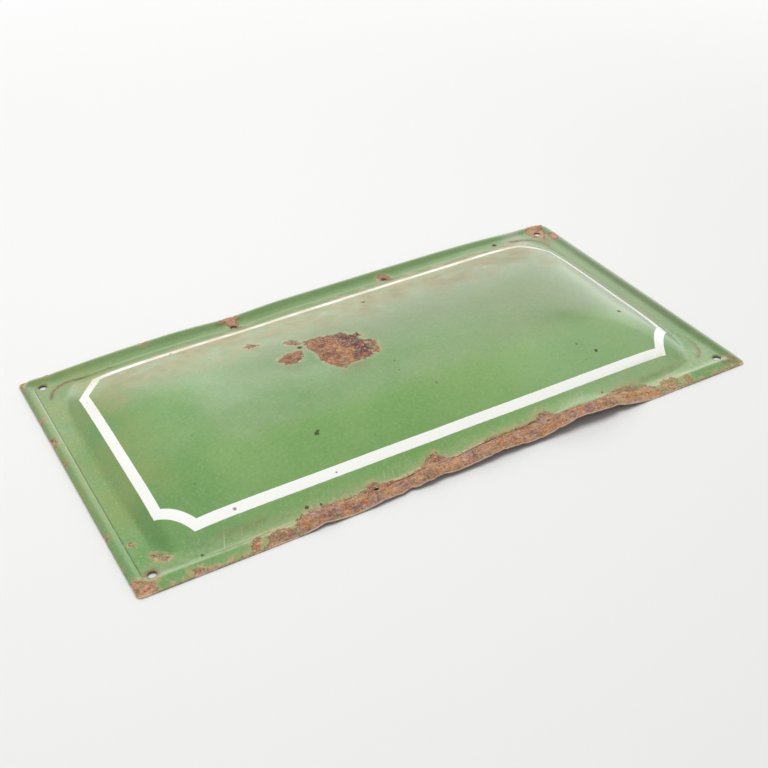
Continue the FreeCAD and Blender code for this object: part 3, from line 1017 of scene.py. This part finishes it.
    # Relief in millimetres: the glaze's edge is 0.14 high, and rust stands in crusts
    height = put("times", glazed, 0.14)
    crusts = put("plus", put("times", crust, 0.9), put("times", flakes, 0.45))
    height = put("plus", height, put("times", bare, crusts))
    height = put("plus", height, put("times", grain["waves"], 0.16))
    height = put("minus", height, put("times", crack, 0.2))
    bump = put("Bump", 1.0, 1 / MM_PER_METRE, named={"Height": height})
    surface = put("BsdfPrincipled", face, named={"Roughness": gloss, "Specular IOR Level": shine,
                                                 "IOR": 1.5, "Normal": bump})
    put("OutputMaterial", surface)
    return material


def ground_coat():
    """Ground-coat enamel on the back: a thin blue-black glass without its cover coat, so it is
    half glossy, with rust creeping in from the edges."""
    material = empty_material("ground_coat_enamel")
    put = partial(node, material.node_tree)
    place = put("scaled", put("TexCoord").outputs["Object"], MM_PER_METRE)
    depth = put("Attribute", attribute_name="rust_depth").outputs["Fac"]
    broad = put("noise", place, 1 / BACK_CLOUDS, 5.0, 0.5)
    fine = put("noise", place, 1 / BACK_CRUST, 6.0, 0.65)
    coat = put("ramp", broad, stops=[(0.35, "#1b1f24"), (0.5, "#262b30"), (0.68, "#33373a")])
    rust = put("ramp", fine, stops=[(0.3, "#4d3330"), (0.5, "#7d4f42"), (0.7, "#a87050")])
    bite = put("plus", depth, put("times_plus", fine, 12.0, -7.5))
    rusted = put("MapRange", bite, -1.0, 1.0)
    gloss = put("MapRange", rusted, 0.0, 1.0, 0.38, 0.86)
    bump = put("Bump", 0.35, 0.0006, named={"Height": fine})
    surface = put("BsdfPrincipled", put("mix", rusted, coat, rust),
                  named={"Roughness": gloss, "IOR": 1.5, "Normal": bump})
    put("OutputMaterial", surface)
    return material


def pale_floor():
    """A plain pale studio floor: matt, and white to the camera where it runs out of sight. The
    share of white rises smoothly with the distance from the middle."""
    material = empty_material("matt_pale_floor")
    put = partial(node, material.node_tree)
    surface = put("BsdfPrincipled", "#e2e2e0", named={"Roughness": 0.7})
    away = put("length", put("TexCoord").outputs["Object"])
    far = put("between", away, FLOOR_FADE_FROM, FLOOR_FADE_TO)
    share = put("times", far, put("LightPath").outputs["Is Camera Ray"])
    put("OutputMaterial", put("MixShader", share, surface, put("Emission", "#ffffff", 1.0)))
    bpy.ops.mesh.primitive_plane_add(size=FLOOR_SIZE, location=(0, 0, -FLOOR_BELOW))
    floor = bpy.context.object
    floor.name = "floor"
    floor.data.materials.append(material)


def lamp(name, width, height, energy, location, turn):
    """A flat lamp, unseen by the camera, at a place in metres and turned by degrees."""
    light = bpy.data.lights.new(name, "AREA")
    light.shape = "RECTANGLE"
    light.size = width
    light.size_y = height
    light.energy = energy
    holder = bpy.data.objects.new(name, light)
    holder.location = location
    holder.rotation_euler = [math.radians(angle) for angle in turn]
    holder.visible_camera = False
    bpy.context.scene.collection.objects.link(holder)
    return holder


def soft_light():
    """Even light: a white room, a wide low screen behind the plate that its gloss picks up, and
    a large lamp overhead for the soft shadow. To the camera and in gloss the room is white, and
    it lights the plate with less."""
    world = bpy.data.worlds.new("white_room")
    bpy.context.scene.world = world
    world.use_nodes = True
    world.node_tree.nodes.clear()
    put = partial(node, world.node_tree)
    ray = put("LightPath").outputs
    seen = put("larger", ray["Is Camera Ray"], ray["Is Glossy Ray"])
    strength = put("MapRange", seen, 0.0, 1.0, ROOM_LIGHT, 1.0)
    put("OutputWorld", put("Background", "#ffffff", strength))
    lamp("back_screen", 5.0, 1.9, 36, (1.12, 2.12, 0.95), (90, 0, 152))
    overhead = lamp("overhead", 1.8, 1.4, 30, (-0.3, 0.2, 2.0), (-6, -9, 0))
    overhead.visible_glossy = False


def camera():
    """The photograph's view, worked out from the plate's four straight sides."""
    lens = bpy.data.cameras.new("camera")
    lens.sensor_width = 36
    lens.lens = CAMERA_LENS
    viewer = bpy.data.objects.new("camera", lens)
    viewer.location = CAMERA_PLACE
    turn = Euler((math.radians(90 - CAMERA_DOWN), 0, math.radians(CAMERA_TURN))).to_matrix()
    roll = Euler((0, 0, math.radians(CAMERA_ROLL))).to_matrix()
    viewer.rotation_euler = (turn @ roll).to_euler()
    bpy.context.scene.collection.objects.link(viewer)
    bpy.context.scene.camera = viewer


def dressed_plate():
    """The plate with its enamel, in place of the plain solid."""
    points, faces, at_edge = plate_mesh()
    x, y = points[:, 0] * MM_PER_METRE, points[:, 1] * MM_PER_METRE
    numbers = {
        "rust_depth": rust_depth(x, y),
        "crease_dirt": crease_dirt(x, y),
        "dust_wash": dust_wash(x, y),
        "edge_inset": edge_inset(x, y),
        "above_crease": y - curve_through(BOTTOM_CREASE, x),
        "cut_edge": at_edge.astype(float),
    }
    finishes = [enamel_on_steel(), ground_coat()]
    plate = show_mesh("sign_plate_dressed", points, faces, finishes, numbers)
    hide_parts("sign_plate")
    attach(plate, "root")


dressed_plate()
pale_floor()
soft_light()
camera()
bpy.context.scene.view_settings.view_transform = "Standard"
